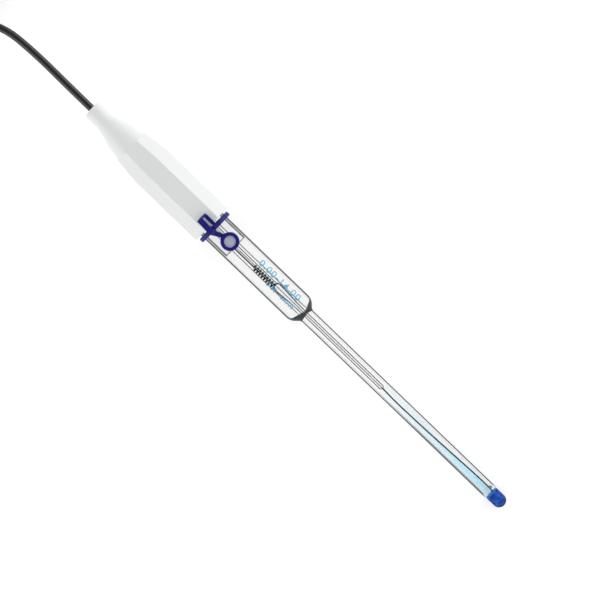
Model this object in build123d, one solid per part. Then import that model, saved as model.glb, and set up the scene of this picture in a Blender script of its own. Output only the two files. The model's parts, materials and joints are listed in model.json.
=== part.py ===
"""Slim-shaft combination pH electrode with a moulded cap, a silicone fill-hole stopper, and a coaxial lead that ends
in a bayonet plug.

The electrode is drawn along its own axis. +X runs from the cap to the bulb, x = 0 is the cap's lower end, and the fill
hole faces +Z. At the end it is laid down as it comes to rest, on the cap's lower edge and the shaft's end. The row's
origin is under the middle of the electrode, on the surface that it lies on. Lengths are in millimetres.
"""

import math
import os

from build123d import *

# Cap: a moulded shell with a round neck, a flare and eight flats.
cap_length = 63.4
cap_wall = 1.6
neck_diameter = 8.0
neck_corner = 1.3
across_flats = 17.2
flat_corner = 0.6
end_corner = 0.4
# Distance from the cap's top, and how much narrower than the flats the cap is there.
flare_stations = [(6.9, 9.2), (9.5, 8.2), (14.5, 5.1), (21.1, 2.4)]
facet_stations = [(21.1, 2.4), (26.3, 1.2), (29.8, 0.4), (34.8, 0.0)]
glass_in_cap = 24.0
glue_gap = 0.1
barrel_ledge = 0.3
cable_grip_length = 3.4
potting_depth = 16.0

# Glass body: one blown tube, a barrel that is drawn down to a slim shaft.
barrel_diameter = 12.0
barrel_wall = 0.8
barrel_length = 45.2
shoulder_length = 6.0
shaft_diameter = 6.0
shaft_wall = 0.6
shaft_end = 148.1
# Share of the shoulder's length, and share of its fall from the barrel to the shaft there.
shoulder_stations = [(0.45, 0.24), (0.63, 0.535), (0.775, 0.82)]
tip_seal_length = 0.8
fill_hole_from_cap = 9.6
fill_hole_diameter = 3.0

# Sleeve: a clear liner under the fill hole, from the potting down.
sleeve_wall = 0.3
sleeve_end = 12.7
sleeve_hole_diameter = 3.6

# Inner stem: the glass tube that holds the blue filling.
stem_diameter = 4.2
stem_wall = 0.35
stem_in_potting = 10.0

# Sensing bulb, blown onto the end of the stem.
bulb_diameter = 5.6
bulb_length = 7.2
bulb_wall = 0.4
bulb_corner = 0.4

# Ceramic junction in the shaft's wall, near the tip.
junction_from_tip = 1.7
junction_diameter = 1.2
junction_turn = 30.0

# Inner element: a capillary with a blown swelling, its lead, and the silver wire below it.
capillary_diameter = 2.0
capillary_bore = 1.0
capillary_end = 90.8
capillary_in_potting = 12.0
swelling_start = 33.6
swelling_top = 36.2
swelling_end = 48.0
swelling_diameter = 3.5
swelling_wall = 0.4
lead_diameter = 0.4
element_wire_diameter = 0.55
element_wire_bow = 1.0
# Share of the wire's length below the bead, and share of the bow that it lies to the side there.
element_wire_course = [(0.12, -0.3), (0.45, 0.05), (0.75, 0.75), (0.9, 1.0), (1.0, 0.7)]
element_wire_in_bulb = 1.8
filling_gap = 0.2

# Reference element: a silver wire with a coiled end, beside the stem in the barrel.
reference_wire_diameter = 0.5
reference_coil_start = 23.0
reference_coil_turns = 9
reference_coil_spacing = 1.25
reference_side = -0.7
reference_clearance = 0.15
reference_bend_diameter = 0.62

# What joins the cable to the wires, inside the potting.
cable_diameter = 3.0
cable_in_cap = 11.4
core_diameter = 1.1
pigtail_diameter = 0.7
pigtail_side = 0.95
joint_sleeve_diameter = 2.2
joint_sleeve_length = 9.0
joint_overlap = 4.0

# Stopper: one silicone moulding of a band, a hairpin strap and an eye, with a peg in the eye.
band_from_cap = 0.8
band_width = 1.8
band_thickness = 1.5
band_corner = 0.3
strap_thickness = 0.8
strap_over_cap = 0.2
strap_reach = 4.9
hairpin_radius = 1.1
# Where the strap's two edges run: under the fold, over it, and at the eye.
strap_low_edges = (-0.1, 1.35)
strap_high_edges = (-3.2, -0.85)
strap_eye_edges = (-1.2, 0.8)
eye_diameter = 7.3
eye_hole_diameter = 4.5
eye_height = 2.0
eye_seat_gap = 0.1
eye_corner = 0.5
strap_eye_height = 1.1
peg_recess = 0.5
nib_clearance = 0.1
nib_end_above_bore = 0.1

# Plug: a bayonet plug on the end of the cable, drawn along its own axis from the boot to the mouth.
boot_length = 17.0
boot_tail_diameter = 4.6
boot_diameter = 8.0
boot_rib_count = 4
boot_rib_depth = 0.4
boot_rib_width = 0.9
boot_rib_spacing = 2.2
boot_rib_start = 3.0
ferrule_start = 8.0
ferrule_length = 8.0
ferrule_diameter = 4.6
collar_diameter = 9.0
collar_length = 1.2
body_neck_diameter = 8.0
flange_diameter = 9.6
flange_thickness = 1.5
contact_sleeve_diameter = 8.1
contact_sleeve_bore = 6.9
contact_sleeve_length = 9.4
contact_slot_width = 0.5
contact_slot_depth = 5.0
nut_length = 14.5
nut_grip_length = 7.5
nut_grip_diameter = 14.3
nut_front_diameter = 12.8
nut_bore = 10.0
nut_shoulder = 1.5
nut_clearance = 0.1
nut_travel = 1.0
spring_space = 2.0
thrust_washer_thickness = 0.4
spring_clearance = 0.1
flute_count = 24
flute_diameter = 1.0
bayonet_slot_width = 2.2
bayonet_slot_depth = 0.8
bayonet_entry_length = 3.2
bayonet_ramp = 1.4
bayonet_ramp_turn = 75.0
bayonet_hole_diameter = 2.4
insulator_length = 9.0
insulator_bore_diameter = 2.4
pin_diameter = 1.4
pin_recess = 1.5
gasket_thickness = 1.2
gasket_bore_gap = 0.05

# Cable: its route and its hank, in the row's frame, on the surface that the electrode lies on.
cable_route = [(-140.0, 0.3, 10.0), (-156.0, -1.0, 9.7), (-169.3, -10.0, 11.0)]
straight_out = 9.6
hank_near_centre = -176.0
hank_straight = 23.5
hank_radii = (9.0, 12.0)
hank_layers = 4
hank_edge = 1.2
tie_thickness = 0.5
tie_width = 6.0
tail_start = 11.0
tail_bend = 2.5
tail_to_boot = 9.8
cable_in_boot = 8.0
plug_yaw = 12.0

cable_radius = cable_diameter / 2
barrel_radius = barrel_diameter / 2
barrel_bore_radius = barrel_radius - barrel_wall
shaft_radius = shaft_diameter / 2
shaft_bore_radius = shaft_radius - shaft_wall
stem_radius = stem_diameter / 2
stem_bore_radius = stem_radius - stem_wall
bulb_radius = bulb_diameter / 2
shoulder_end = barrel_length + shoulder_length
annulus_radius = barrel_bore_radius - sleeve_wall
reference_coil_radius = (annulus_radius - stem_radius) / 2 - reference_clearance - reference_wire_diameter / 2


def turned(*edges):
    """Solid of revolution about the X axis, from the edges of an outline of (distance along X, radius)."""
    return revolve(make_face(Curve() + list(edges)), Axis.X)


def outline(*points):
    """Straight edges through points of (distance along X, radius)."""
    return Polyline([(x, r) for x, r in points])


def rod(radius, start, end, y=0.0, z=0.0):
    """Straight round rod along X."""
    return Plane(origin=(start, y, z), x_dir=(0, 1, 0), z_dir=(1, 0, 0)) * extrude(Circle(radius), end - start)


def pipe(path, radius):
    """Round bar along a path."""
    return sweep(Plane(origin=path @ 0, z_dir=path % 0) * Circle(radius), path=path)


def fitted_radius(before, corner, after):
    """The largest arc that the two runs at a corner allow."""
    into = Vector(*corner) - Vector(*before)
    out = Vector(*after) - Vector(*corner)
    half_turn = math.radians(into.get_angle(out)) / 2
    return 0.45 * min(into.length, out.length) / math.tan(half_turn)


def fitted_radii(points):
    """An arc's radius for each corner of a path."""
    return [fitted_radius(*points[i - 1:i + 2]) for i in range(1, len(points) - 1)]


def octagon(distance, narrower):
    """Section across the cap's flats, with a flat towards +Z and moulded corners."""
    section = RegularPolygon((across_flats - narrower) / 2, 8, major_radius=False, rotation=22.5)
    return Plane.YZ.offset(distance - cap_length) * fillet(section.vertices(), flat_corner)


def flare_points(wall):
    """The flare's outline from the neck to the facet line, a wall's thickness inside the cap's surface."""
    return [(distance - cap_length, (across_flats - narrower) / 2 - wall) for distance, narrower in flare_stations]


def cap_bore():
    """The space inside the cap: a seat for the barrel, a cavity under the flare, and the cable's hole in the neck."""
    inside = flare_points(cap_wall)
    seat_radius = barrel_radius + glue_gap
    ledge_radius = seat_radius - barrel_ledge
    neck_bore = neck_diameter / 2 - cap_wall
    grip = -cap_length + cable_grip_length
    cavity = turned(
        outline((-glass_in_cap, 0), (-glass_in_cap, inside[-1][1]), inside[-1]),
        Spline(inside),
        outline(inside[0], (grip, neck_bore), (grip, cable_radius), (-cap_length, cable_radius)),
        outline((-cap_length, cable_radius), (-cap_length, 0), (-glass_in_cap, 0)),
    )
    return rod(seat_radius, -glass_in_cap, 0) + (cavity & rod(ledge_radius, -cap_length, -glass_in_cap))


def cap_shell():
    """The moulded cap. The flats start at a crisp line across the flare, where their middles meet the round part."""
    stations = flare_points(0)
    neck_radius = neck_diameter / 2
    top = -cap_length
    round_part = turned(
        outline((stations[-1][0], 0), (top, 0), (top, neck_radius - neck_corner)),
        ThreePointArc(
            (top, neck_radius - neck_corner),
            (top + neck_corner * (1 - math.sqrt(0.5)), neck_radius - neck_corner * (1 - math.sqrt(0.5))),
            (top + neck_corner, neck_radius),
        ),
        outline((top + neck_corner, neck_radius), stations[0]),
        Spline(stations, tangents=[(1, 0), (1, 0.16)]),
        outline(stations[-1], (stations[-1][0], 0)),
    )
    tapered = loft([octagon(distance, narrower) for distance, narrower in facet_stations])
    straight = extrude(octagon(*facet_stations[-1]), cap_length - facet_stations[-1][0])
    end_edges = straight.faces().sort_by(Axis.X)[-1].edges()
    return round_part + tapered + fillet(end_edges, end_corner) - cap_bore()


def shoulder(wide, slim):
    """Points of the shoulder's outline between two radii, from the barrel's end to the shaft's start."""
    between = [(barrel_length + share * shoulder_length, wide - fall * (wide - slim)) for share, fall in shoulder_stations]
    return [(barrel_length, wide)] + between + [(shoulder_end, slim)]


def glass_body():
    """One tube: the barrel, the drawn-down shoulder, the slim shaft, and its end closed in to the stem."""
    top = -glass_in_cap
    bore = barrel_bore_radius
    seal = shaft_end - tip_seal_length
    shell = turned(
        outline((top, bore), (top, barrel_radius), (barrel_length, barrel_radius)),
        Spline(shoulder(barrel_radius, shaft_radius), tangents=[(1, 0), (1, -0.1)]),
        outline((shoulder_end, shaft_radius), (shaft_end, shaft_radius), (shaft_end, stem_radius),
                (seal, stem_radius), (seal, shaft_bore_radius), (shoulder_end, shaft_bore_radius)),
        Spline(shoulder(bore, shaft_bore_radius)[::-1], tangents=[(-1, 0.1), (-1, 0)]),
        outline((barrel_length, bore), (top, bore)),
    )
    fill_hole = Plane(origin=(fill_hole_from_cap, 0, 0)) * extrude(Circle(fill_hole_diameter / 2), barrel_diameter)
    return shell - fill_hole - junction_rod(shaft_radius + 1)


def inner_sleeve():
    """Clear liner of the barrel's top, with a hole under the fill hole."""
    start = -glass_in_cap + potting_depth
    liner = rod(barrel_bore_radius, start, sleeve_end) - rod(annulus_radius, start - 1, sleeve_end + 1)
    hole = Plane(origin=(fill_hole_from_cap, 0, 0)) * extrude(Circle(sleeve_hole_diameter / 2), barrel_diameter)
    return liner - hole


def junction_rod(reach):
    """Round rod that points out through the shaft's wall where the ceramic junction is."""
    turn = math.radians(junction_turn)
    outwards = (0, math.sin(turn), math.cos(turn))
    base = Plane(origin=(shaft_end - junction_from_tip, 0, 0), x_dir=(1, 0, 0), z_dir=outwards)
    return base * extrude(Circle(junction_diameter / 2), reach)


def junction_frit():
    """Porous ceramic pin, fused into the shaft's wall flush with both faces."""
    start = shaft_end - 2 * junction_from_tip
    wall = rod(shaft_radius, start, shaft_end) - rod(shaft_bore_radius, start, shaft_end)
    return junction_rod(shaft_diameter) & wall


def inner_stem():
    """The tube inside the body, from the potting to the bulb."""
    top = -glass_in_cap + potting_depth - stem_in_potting
    return rod(stem_radius, top, shaft_end) - rod(stem_bore_radius, top - 1, shaft_end + 1)


def bulb_outline(inset, open_radius):
    """Edges of the bulb's outline, inset from its surface: a short barrel, and a round end on the axis."""
    radius = bulb_radius - inset
    centre = shaft_end + bulb_length - bulb_radius
    start = shaft_end
    half = math.sqrt(0.5)
    return [
        outline((start, open_radius), (start + bulb_corner, radius), (centre, radius)),
        ThreePointArc((centre, radius), (centre + radius * half, radius * half), (centre + radius, 0)),
    ]


def sensing_bulb():
    """Thin blown membrane of sensing glass, sealed to the ends of the stem and the shaft."""
    tip = shaft_end + bulb_length
    outer = turned(*bulb_outline(0, bulb_radius - bulb_corner), outline((tip, 0), (shaft_end, 0),
                                                                        (shaft_end, bulb_radius - bulb_corner)))
    return outer - bulb_space()


def bulb_space():
    """The space inside the bulb, open to the stem."""
    tip = shaft_end + bulb_length - bulb_wall
    return turned(*bulb_outline(bulb_wall, stem_bore_radius),
                  outline((tip, 0), (shaft_end, 0), (shaft_end, stem_bore_radius)))


def element_capillary():
    """Thin-bored glass tube with a blown swelling. Its lower end is closed round the lead by a bead."""
    top = -glass_in_cap + potting_depth - capillary_in_potting
    outer = capillary_diameter / 2
    bore = capillary_bore / 2
    swell = swelling_diameter / 2
    inner_swell = swell - swelling_wall
    bead = capillary_end - outer
    half = math.sqrt(0.5)
    body = turned(
        outline((top, 0), (top, outer), (swelling_start, outer)),
        Spline([(swelling_start, outer), (swelling_top, swell), (swelling_end, outer)],
               tangents=[(0.4, 1), (1, 0)]),
        outline((swelling_end, outer), (bead, outer)),
        ThreePointArc((bead, outer), (bead + outer * half, outer * half), (capillary_end, 0)),
        outline((capillary_end, 0), (top, 0)),
    )
    space = turned(
        outline((top, 0), (top, bore), (swelling_start, bore)),
        Spline([(swelling_start, bore), (swelling_top, inner_swell), (swelling_end, bore)],
               tangents=[(0.4, 1), (1, 0)]),
        outline((swelling_end, bore), (bead, bore), (bead, 0), (top, 0)),
    )
    return body - space - rod(lead_diameter / 2, bead, capillary_end)


def element_lead():
    """Straight lead, from the joint in the potting down through the bead."""
    return rod(lead_diameter / 2, joint_end() - joint_overlap, capillary_end)


def element_wire():
    """Silver wire below the bead. It swings to one side and back on its way down, and its end is in the bulb."""
    length = shaft_end + element_wire_in_bulb - capillary_end
    points = [(capillary_end, 0, 0)] + [
        (capillary_end + share * length, swing * element_wire_bow, 0) for share, swing in element_wire_course]
    return pipe(FilletPolyline(*points, radius=fitted_radii(points)), element_wire_diameter / 2)


def inner_filling():
    """The pale blue gel, from just below the capillary to the inside of the bulb."""
    gel = rod(stem_bore_radius, capillary_end + filling_gap, shaft_end) + bulb_space()
    return gel - element_wire()


def reference_height():
    """Height of the reference coil's axis, midway between the stem and the sleeve."""
    reach = (annulus_radius + stem_radius) / 2
    return math.sqrt(reach**2 - reference_side**2)


def reference_wire():
    """Silver wire from the potting down beside the stem, with its lower end wound into an open coil."""
    height = reference_height()
    coil = Pos(reference_coil_start, reference_side, height) * Rot(180, 0, 0) * Helix(
        pitch=reference_coil_spacing,
        height=reference_coil_spacing * reference_coil_turns,
        radius=reference_coil_radius,
        direction=(1, 0, 0),
    )
    start = coil @ 0
    radius = reference_wire_diameter / 2
    lead = rod(radius, joint_end() - joint_overlap, reference_coil_start, start.Y, start.Z)
    return lead + Pos(*start) * Sphere(reference_bend_diameter / 2) + pipe(coil, radius)


def joint_end():
    """Where the soldered joints in the potting end, on the side of the glass."""
    return -glass_in_cap - 2.0


def joint_sleeve(y, z):
    """Shrunk sleeve over a soldered joint, with the wires through it."""
    return rod(joint_sleeve_diameter / 2, joint_end() - joint_sleeve_length, joint_end(), y, z)


def cable_core():
    """The cable's insulated centre conductor, stripped from the cable's end to its joint."""
    return rod(core_diameter / 2, -cap_length + cable_in_cap, joint_end() - joint_sleeve_length + joint_overlap)


def braid_pigtail():
    """The cable's braid, twisted to a pigtail and led across to the reference wire's joint."""
    start = -cap_length + cable_in_cap
    lead = reference_lead_place()
    sleeve_start = joint_end() - joint_sleeve_length
    bare = sleeve_start - start
    path = FilletPolyline((start, 0, pigtail_side), (start + 0.28 * bare, 0, pigtail_side + 0.5),
                          (start + 0.78 * bare, *lead), (sleeve_start + joint_overlap, *lead), radius=0.18 * bare)
    return pipe(path, pigtail_diameter / 2)


def reference_lead_place():
    """Where the reference wire's straight lead runs, close above the stem, as (y, z)."""
    return reference_side, reference_height() - reference_coil_radius


def cap_potting(buried):
    """Cast resin that fills the cap's cavity and the barrel's top, round everything that it holds."""
    grip = -cap_length + cable_grip_length
    cavity = cap_bore() - rod(across_flats, -glass_in_cap, 1) - rod(across_flats, -cap_length - 1, grip)
    resin = cavity + rod(barrel_bore_radius, -glass_in_cap, -glass_in_cap + potting_depth)
    for piece in buried:
        resin = resin - piece
    return resin


def stopper_band():
    """Stretched silicone ring round the barrel, just below the cap."""
    outer = barrel_radius + band_thickness
    ring = rod(outer, band_from_cap, band_from_cap + band_width)
    rims = ring.edges().filter_by(GeomType.CIRCLE)
    return fillet(rims, band_corner) - rod(barrel_radius, band_from_cap, band_from_cap + band_width)


def strap_outline(low, high, fold, eye_edge):
    """The space that the strap keeps to: its lower leg, the fold in which it moves over to its other side, and its
    upper leg down to the eye."""
    half = strap_thickness / 2
    middle = (low + high) / 2
    top = 2 * high
    front = band_from_cap + band_width
    reach = strap_reach + strap_thickness
    near, far = strap_low_edges
    lower = Plane.YZ.offset(fold) * extrude(Polygon(
        (near, 0), (far, 0), (far, middle), (near, middle), align=None), front - strap_thickness / 2 - fold)
    crossing = Plane.YZ.offset(-reach) * extrude(Polygon(
        (near, 0), (far, 0), (far, low + half), (strap_high_edges[1], high - half), (strap_high_edges[1], top),
        (strap_high_edges[0], top), (strap_high_edges[0], high - half), (near, low + half), align=None), reach + fold)
    near, far = strap_high_edges
    plan = make_face(Curve() + [
        Spline([(fold, near), (front, near), (eye_edge, strap_eye_edges[0])], tangents=[(1, 0), (1, 0.2)]),
        Line((eye_edge, strap_eye_edges[0]), (eye_edge, strap_eye_edges[1])),
        Spline([(eye_edge, strap_eye_edges[1]), (front, far), (fold, far)], tangents=[(-1, -0.2), (-1, 0)]),
        Line((fold, far), (fold, near)),
    ])
    under = Box(front - fold, across_flats, middle, align=(Align.MIN, Align.CENTER, Align.MIN))
    return lower + crossing + (extrude(plan, top) - Pos(fold, 0, 0) * under)


def stopper_strap():
    """Hairpin strap: up from the band, back over the cap's edge, folded over to its other side, and forward and down to
    the eye."""
    low = across_flats / 2 + strap_over_cap + strap_thickness / 2
    high = low + 2 * hairpin_radius
    fold = -strap_reach + strap_thickness / 2 + hairpin_radius
    root = band_from_cap + band_width / 2
    eye_edge = fill_hole_from_cap - eye_hole_diameter / 2 - strap_thickness / 2
    join = barrel_radius + strap_eye_height
    spine = FilletPolyline(
        (root, 0, barrel_radius),
        (root, 0, low),
        (fold - hairpin_radius, 0, low),
        (fold - hairpin_radius, 0, high),
        (root + strap_thickness, 0, high),
        (eye_edge - 3 * strap_thickness, 0, join),
        (eye_edge, 0, join),
        radius=[0.9, hairpin_radius * 0.98, hairpin_radius * 0.98, 1.6, 1.6],
    )
    section = Plane(origin=spine @ 0, x_dir=(1, 0, 0), z_dir=spine % 0) * Rectangle(strap_thickness, across_flats)
    ribbon = sweep(section, path=spine)
    return (ribbon & strap_outline(low, high, fold, eye_edge)) - stopper_band() - stopper_eye()


def saddle(gap):
    """The barrel with a gap round it, which shapes what sits on it."""
    reach = eye_diameter
    return rod(barrel_radius + gap, fill_hole_from_cap - reach, fill_hole_from_cap + reach)


def stopper_eye():
    """Ring that sits over the fill hole, with its underside shaped to the barrel."""
    top = barrel_radius + eye_height
    base = Plane(origin=(fill_hole_from_cap, 0, 0))
    block = base * extrude(Circle(eye_diameter / 2), top)
    rim = block.faces().sort_by(Axis.Z)[-1].edges()
    hole = base * extrude(Circle(eye_hole_diameter / 2), 2 * top)
    return fillet(rim, eye_corner) - hole - saddle(eye_seat_gap)


def stopper_peg():
    """Grey peg held in the eye: a disc, and a nib that closes the fill hole."""
    base = Plane(origin=(fill_hole_from_cap, 0, 0))
    head = base * extrude(Circle(eye_hole_diameter / 2), barrel_radius + eye_height - peg_recess)
    nib_base = Plane(origin=(fill_hole_from_cap, 0, barrel_bore_radius - nib_end_above_bore))
    nib = nib_base * extrude(Circle(fill_hole_diameter / 2 - nib_clearance), barrel_wall + 1)
    return (head - saddle(eye_seat_gap)) + nib


def along(radius, start, end):
    """Straight round bar on the plug's own axis, which is Z while the plug is drawn."""
    return Pos(0, 0, start) * extrude(Circle(radius), end - start)


nut_back = boot_length + collar_length + nut_clearance
nut_mouth = nut_back + nut_length
shoulder_front = nut_back + nut_shoulder
flange_back = shoulder_front + spring_space
flange_front = flange_back + flange_thickness
pin_tip = flange_front + contact_sleeve_length - pin_recess
ferrule_end = ferrule_start + ferrule_length


def plug_boot():
    """Ribbed strain-relief boot of soft plastic, with the cable and the ferrule in its bore."""
    shape = loft([
        Circle(boot_tail_diameter / 2),
        Pos(0, 0, boot_length * 0.75) * Circle(boot_diameter / 2),
    ])
    shape = shape + along(boot_diameter / 2, boot_length * 0.75, boot_length)
    for rib in range(boot_rib_count):
        start = boot_rib_start + rib * boot_rib_spacing
        slope = (boot_diameter - boot_tail_diameter) / 2 / (boot_length * 0.75)
        floor = boot_tail_diameter / 2 + slope * start - boot_rib_depth
        shape = shape - (along(boot_diameter, start, start + boot_rib_width)
                         - along(floor, start, start + boot_rib_width))
    return shape - along(cable_radius, 0, boot_length) - along(ferrule_diameter / 2, ferrule_start, boot_length)


def plug_ferrule():
    """Crimped metal tube over the cable's braid."""
    return along(ferrule_diameter / 2, ferrule_start, ferrule_end) - along(cable_radius, 0, ferrule_end)


def plug_body():
    """Turned body: rear spigot, collar, neck for the nut, flange, and the slotted outer contact."""
    body = (
        along(ferrule_diameter / 2, ferrule_end, boot_length)
        + along(collar_diameter / 2, boot_length, boot_length + collar_length)
        + along(body_neck_diameter / 2, boot_length, flange_back)
        + along(flange_diameter / 2, flange_back, flange_front)
        + along(contact_sleeve_diameter / 2, flange_front, flange_front + contact_sleeve_length)
    )
    back = flange_front + contact_sleeve_length - insulator_length
    body = body - along(contact_sleeve_bore / 2, back, nut_mouth + 1) - along(insulator_bore_diameter / 2, 0, back)
    slot_start = flange_front + contact_sleeve_length - contact_slot_depth
    for quarter in (0, 90):
        slot = Box(2 * collar_diameter, contact_slot_width, contact_slot_depth + 1,
                   align=(Align.CENTER, Align.CENTER, Align.MIN))
        body = body - Rot(0, 0, quarter) * Pos(0, 0, slot_start) * slot
    return body


def plug_insulator():
    """Plastic sleeve that centres the pin: a rear tube, and a wider front part inside the contact."""
    back = flange_front + contact_sleeve_length - insulator_length
    front = back + insulator_length - contact_slot_depth
    sleeve = along(insulator_bore_diameter / 2, ferrule_end, back) + along(contact_sleeve_bore / 2, back, front)
    return sleeve - along(pin_diameter / 2, 0, nut_mouth)


def plug_pin():
    """Centre contact with a domed tip."""
    straight_end = pin_tip - pin_diameter / 2
    return along(pin_diameter / 2, ferrule_end, straight_end) + Pos(0, 0, straight_end) * Sphere(pin_diameter / 2)


def ring(outer, inner, start, end):
    """Flat ring on the plug's axis."""
    return along(outer, start, end) - along(inner, start - 1, end + 1)


def plug_gasket():
    """Soft sealing ring in front of the flange, round the outer contact."""
    return ring(flange_diameter / 2, contact_sleeve_diameter / 2 + gasket_bore_gap, flange_front,
                flange_front + gasket_thickness)


def plug_thrust_washer():
    """Flat washer that moves with the nut and takes the spring's push."""
    return ring(nut_bore / 2 - nut_clearance, body_neck_diameter / 2 + nut_clearance,
                shoulder_front, shoulder_front + thrust_washer_thickness)


def plug_spring():
    """Wave washer between the thrust washer and the flange, as the band that it fills."""
    return ring(flange_diameter / 2, body_neck_diameter / 2 + spring_clearance,
                shoulder_front + thrust_washer_thickness + 0.02, flange_back)


def bayonet_track(turn):
    """One track inside the nut: an entry from the mouth, a sloping ramp, and the round hole where the stud rests."""
    track_radius = nut_bore / 2 + bayonet_slot_depth
    width = bayonet_slot_width / 2
    entry_end = nut_mouth - bayonet_entry_length
    track = along(track_radius, entry_end, nut_mouth) & Box(
        4 * track_radius, bayonet_slot_width, 4 * nut_mouth, align=(Align.MIN, Align.CENTER, Align.CENTER))
    steps = 5
    for step in range(steps + 1):
        share = step / steps
        height = entry_end + width * 0.2 - share * bayonet_ramp
        stud = Rot(0, 0, share * bayonet_ramp_turn) * Pos(0, 0, height) * Rot(0, 90, 0) * extrude(
            Circle(width), track_radius)
        track = track + stud
    rest = Rot(0, 0, bayonet_ramp_turn) * Pos(0, 0, entry_end + width * 0.2 - bayonet_ramp) * Rot(0, 90, 0) * extrude(
        Circle(bayonet_hole_diameter / 2), nut_grip_diameter)
    return Rot(0, 0, turn) * (track + rest)


def plug_nut():
    """Coupling nut: a fluted grip, a plain front, the shoulder behind the washers, and two bayonet tracks."""
    grip_end = nut_back + nut_grip_length
    nut = along(nut_grip_diameter / 2, nut_back, grip_end) + along(nut_front_diameter / 2, grip_end, nut_mouth)
    nut = nut - along(nut_bore / 2, shoulder_front, nut_mouth + 1)
    nut = nut - along(body_neck_diameter / 2 + nut_clearance, nut_back - 1, nut_mouth)
    for flute in range(flute_count):
        cut = along(flute_diameter / 2, nut_back - 1, grip_end + 1)
        nut = nut - Rot(0, 0, flute * 360 / flute_count) * Pos(nut_grip_diameter / 2, 0, 0) * cut
    for turn in (0, 180):
        nut = nut - bayonet_track(turn)
    return nut


def cable_tube(name, points):
    """Round cable along straight runs joined by tangent arcs, with its radii and its volume printed."""
    radii = fitted_radii(points)
    path = FilletPolyline(*points, radius=radii)
    tube = pipe(path, cable_radius)
    section = math.pi * cable_radius**2
    print(name, "radii", [round(r, 1) for r in radii], "length", round(path.length, 1),
          "volume share", round(tube.volume / (section * path.length), 5))
    return tube


def hank_solid():
    """The outer shape of the folded hank: turns side by side and on each other, round an open middle."""
    outer = hank_radii[-1] + cable_radius
    inner = hank_radii[0] - cable_radius
    height = hank_layers * cable_diameter
    middle = hank_near_centre - hank_straight / 2
    whole = extrude(SlotOverall(hank_straight + 2 * outer, 2 * outer), height)
    rims = whole.faces().filter_by(Plane.XY).edges()
    whole = fillet(rims, hank_edge) - extrude(SlotOverall(hank_straight + 2 * inner, 2 * inner), height)
    return Pos(middle, 0, tie_thickness) * whole


def hank_tie(hank):
    """Flat strap pulled round the middle of the hank."""
    outer = hank_radii[-1] + cable_radius
    height = hank_layers * cable_diameter
    middle = hank_near_centre - hank_straight / 2
    section = RectangleRounded(2 * (outer + tie_thickness), height + 2 * tie_thickness, hank_edge + tie_thickness)
    hole = RectangleRounded(2 * outer, height, hank_edge)
    strap = Plane(origin=(middle - tie_width / 2, 0, tie_thickness + height / 2), x_dir=(0, 1, 0), z_dir=(1, 0, 0))
    return strap * extrude(section - hole, tie_width)


# How the electrode lies: on the cap's lower edge, and on the shaft's end or on the bulb, whichever is met first.
half_flats = across_flats / 2
bulb_centre = shaft_end + bulb_length - bulb_radius


def angle_onto(x, below, radius):
    """How far the electrode leans when a round of the shaft touches: its middle is at x, that far below the axis."""
    down, out = half_flats - end_corner - below, x + end_corner
    return math.atan2(down, out) + math.asin((end_corner - radius) / math.hypot(down, out))


lie_angle = min(angle_onto(shaft_end, shaft_radius, 0), angle_onto(bulb_centre, 0, bulb_radius))
lift = (half_flats - end_corner) * math.cos(lie_angle) + end_corner - end_corner * math.sin(lie_angle)
middle_of_electrode = (bulb_centre * math.cos(lie_angle) + bulb_radius
                       - cap_length * math.cos(lie_angle)
                       - (neck_diameter / 2 - neck_corner) * math.sin(lie_angle)) / 2
lying = Pos(-middle_of_electrode, 0, lift) * Rot(0, math.degrees(lie_angle), 0)


def laid(x):
    """A point of the electrode's axis, in the row's frame."""
    return (x * math.cos(lie_angle) - middle_of_electrode, 0.0, lift - x * math.sin(lie_angle))


# How the plug lies: its cable leaves the hank's lowest turn, and the back rim of the nut's grip rests on the surface.
hank_far_centre = hank_near_centre - hank_straight
tail_height = tie_thickness + cable_radius
to_nut = tail_to_boot + nut_back
plug_pitch = (math.atan2(nut_grip_diameter / 2, to_nut)
              - math.asin(tail_height / math.hypot(to_nut, nut_grip_diameter / 2)))
plug_turn = math.radians(plug_yaw)
plug_direction = Vector(
    -math.cos(plug_pitch) * math.cos(plug_turn),
    math.cos(plug_pitch) * math.sin(plug_turn),
    math.sin(plug_pitch),
)
tail_corner = Vector(hank_far_centre - tail_bend, -hank_radii[-1], tail_height)
boot_start = tail_corner + plug_direction * tail_to_boot
plug_place = Plane(origin=boot_start, z_dir=plug_direction).location
run_points = [laid(-cap_length + cable_in_cap), laid(-cap_length - straight_out), *cable_route]
tail_points = [
    (hank_far_centre + tail_start, -hank_radii[-1], tail_height),
    tuple(tail_corner),
    tuple(tail_corner + plug_direction * (tail_to_boot + cable_in_boot)),
]

stem = inner_stem()
capillary = element_capillary()
reference = reference_wire()
core = cable_core()
lead = element_lead()
pigtail = braid_pigtail()
core_sleeve = joint_sleeve(0, 0)
braid_sleeve = joint_sleeve(*reference_lead_place())
cable_end = rod(cable_radius, -cap_length, -cap_length + cable_in_cap)

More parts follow.
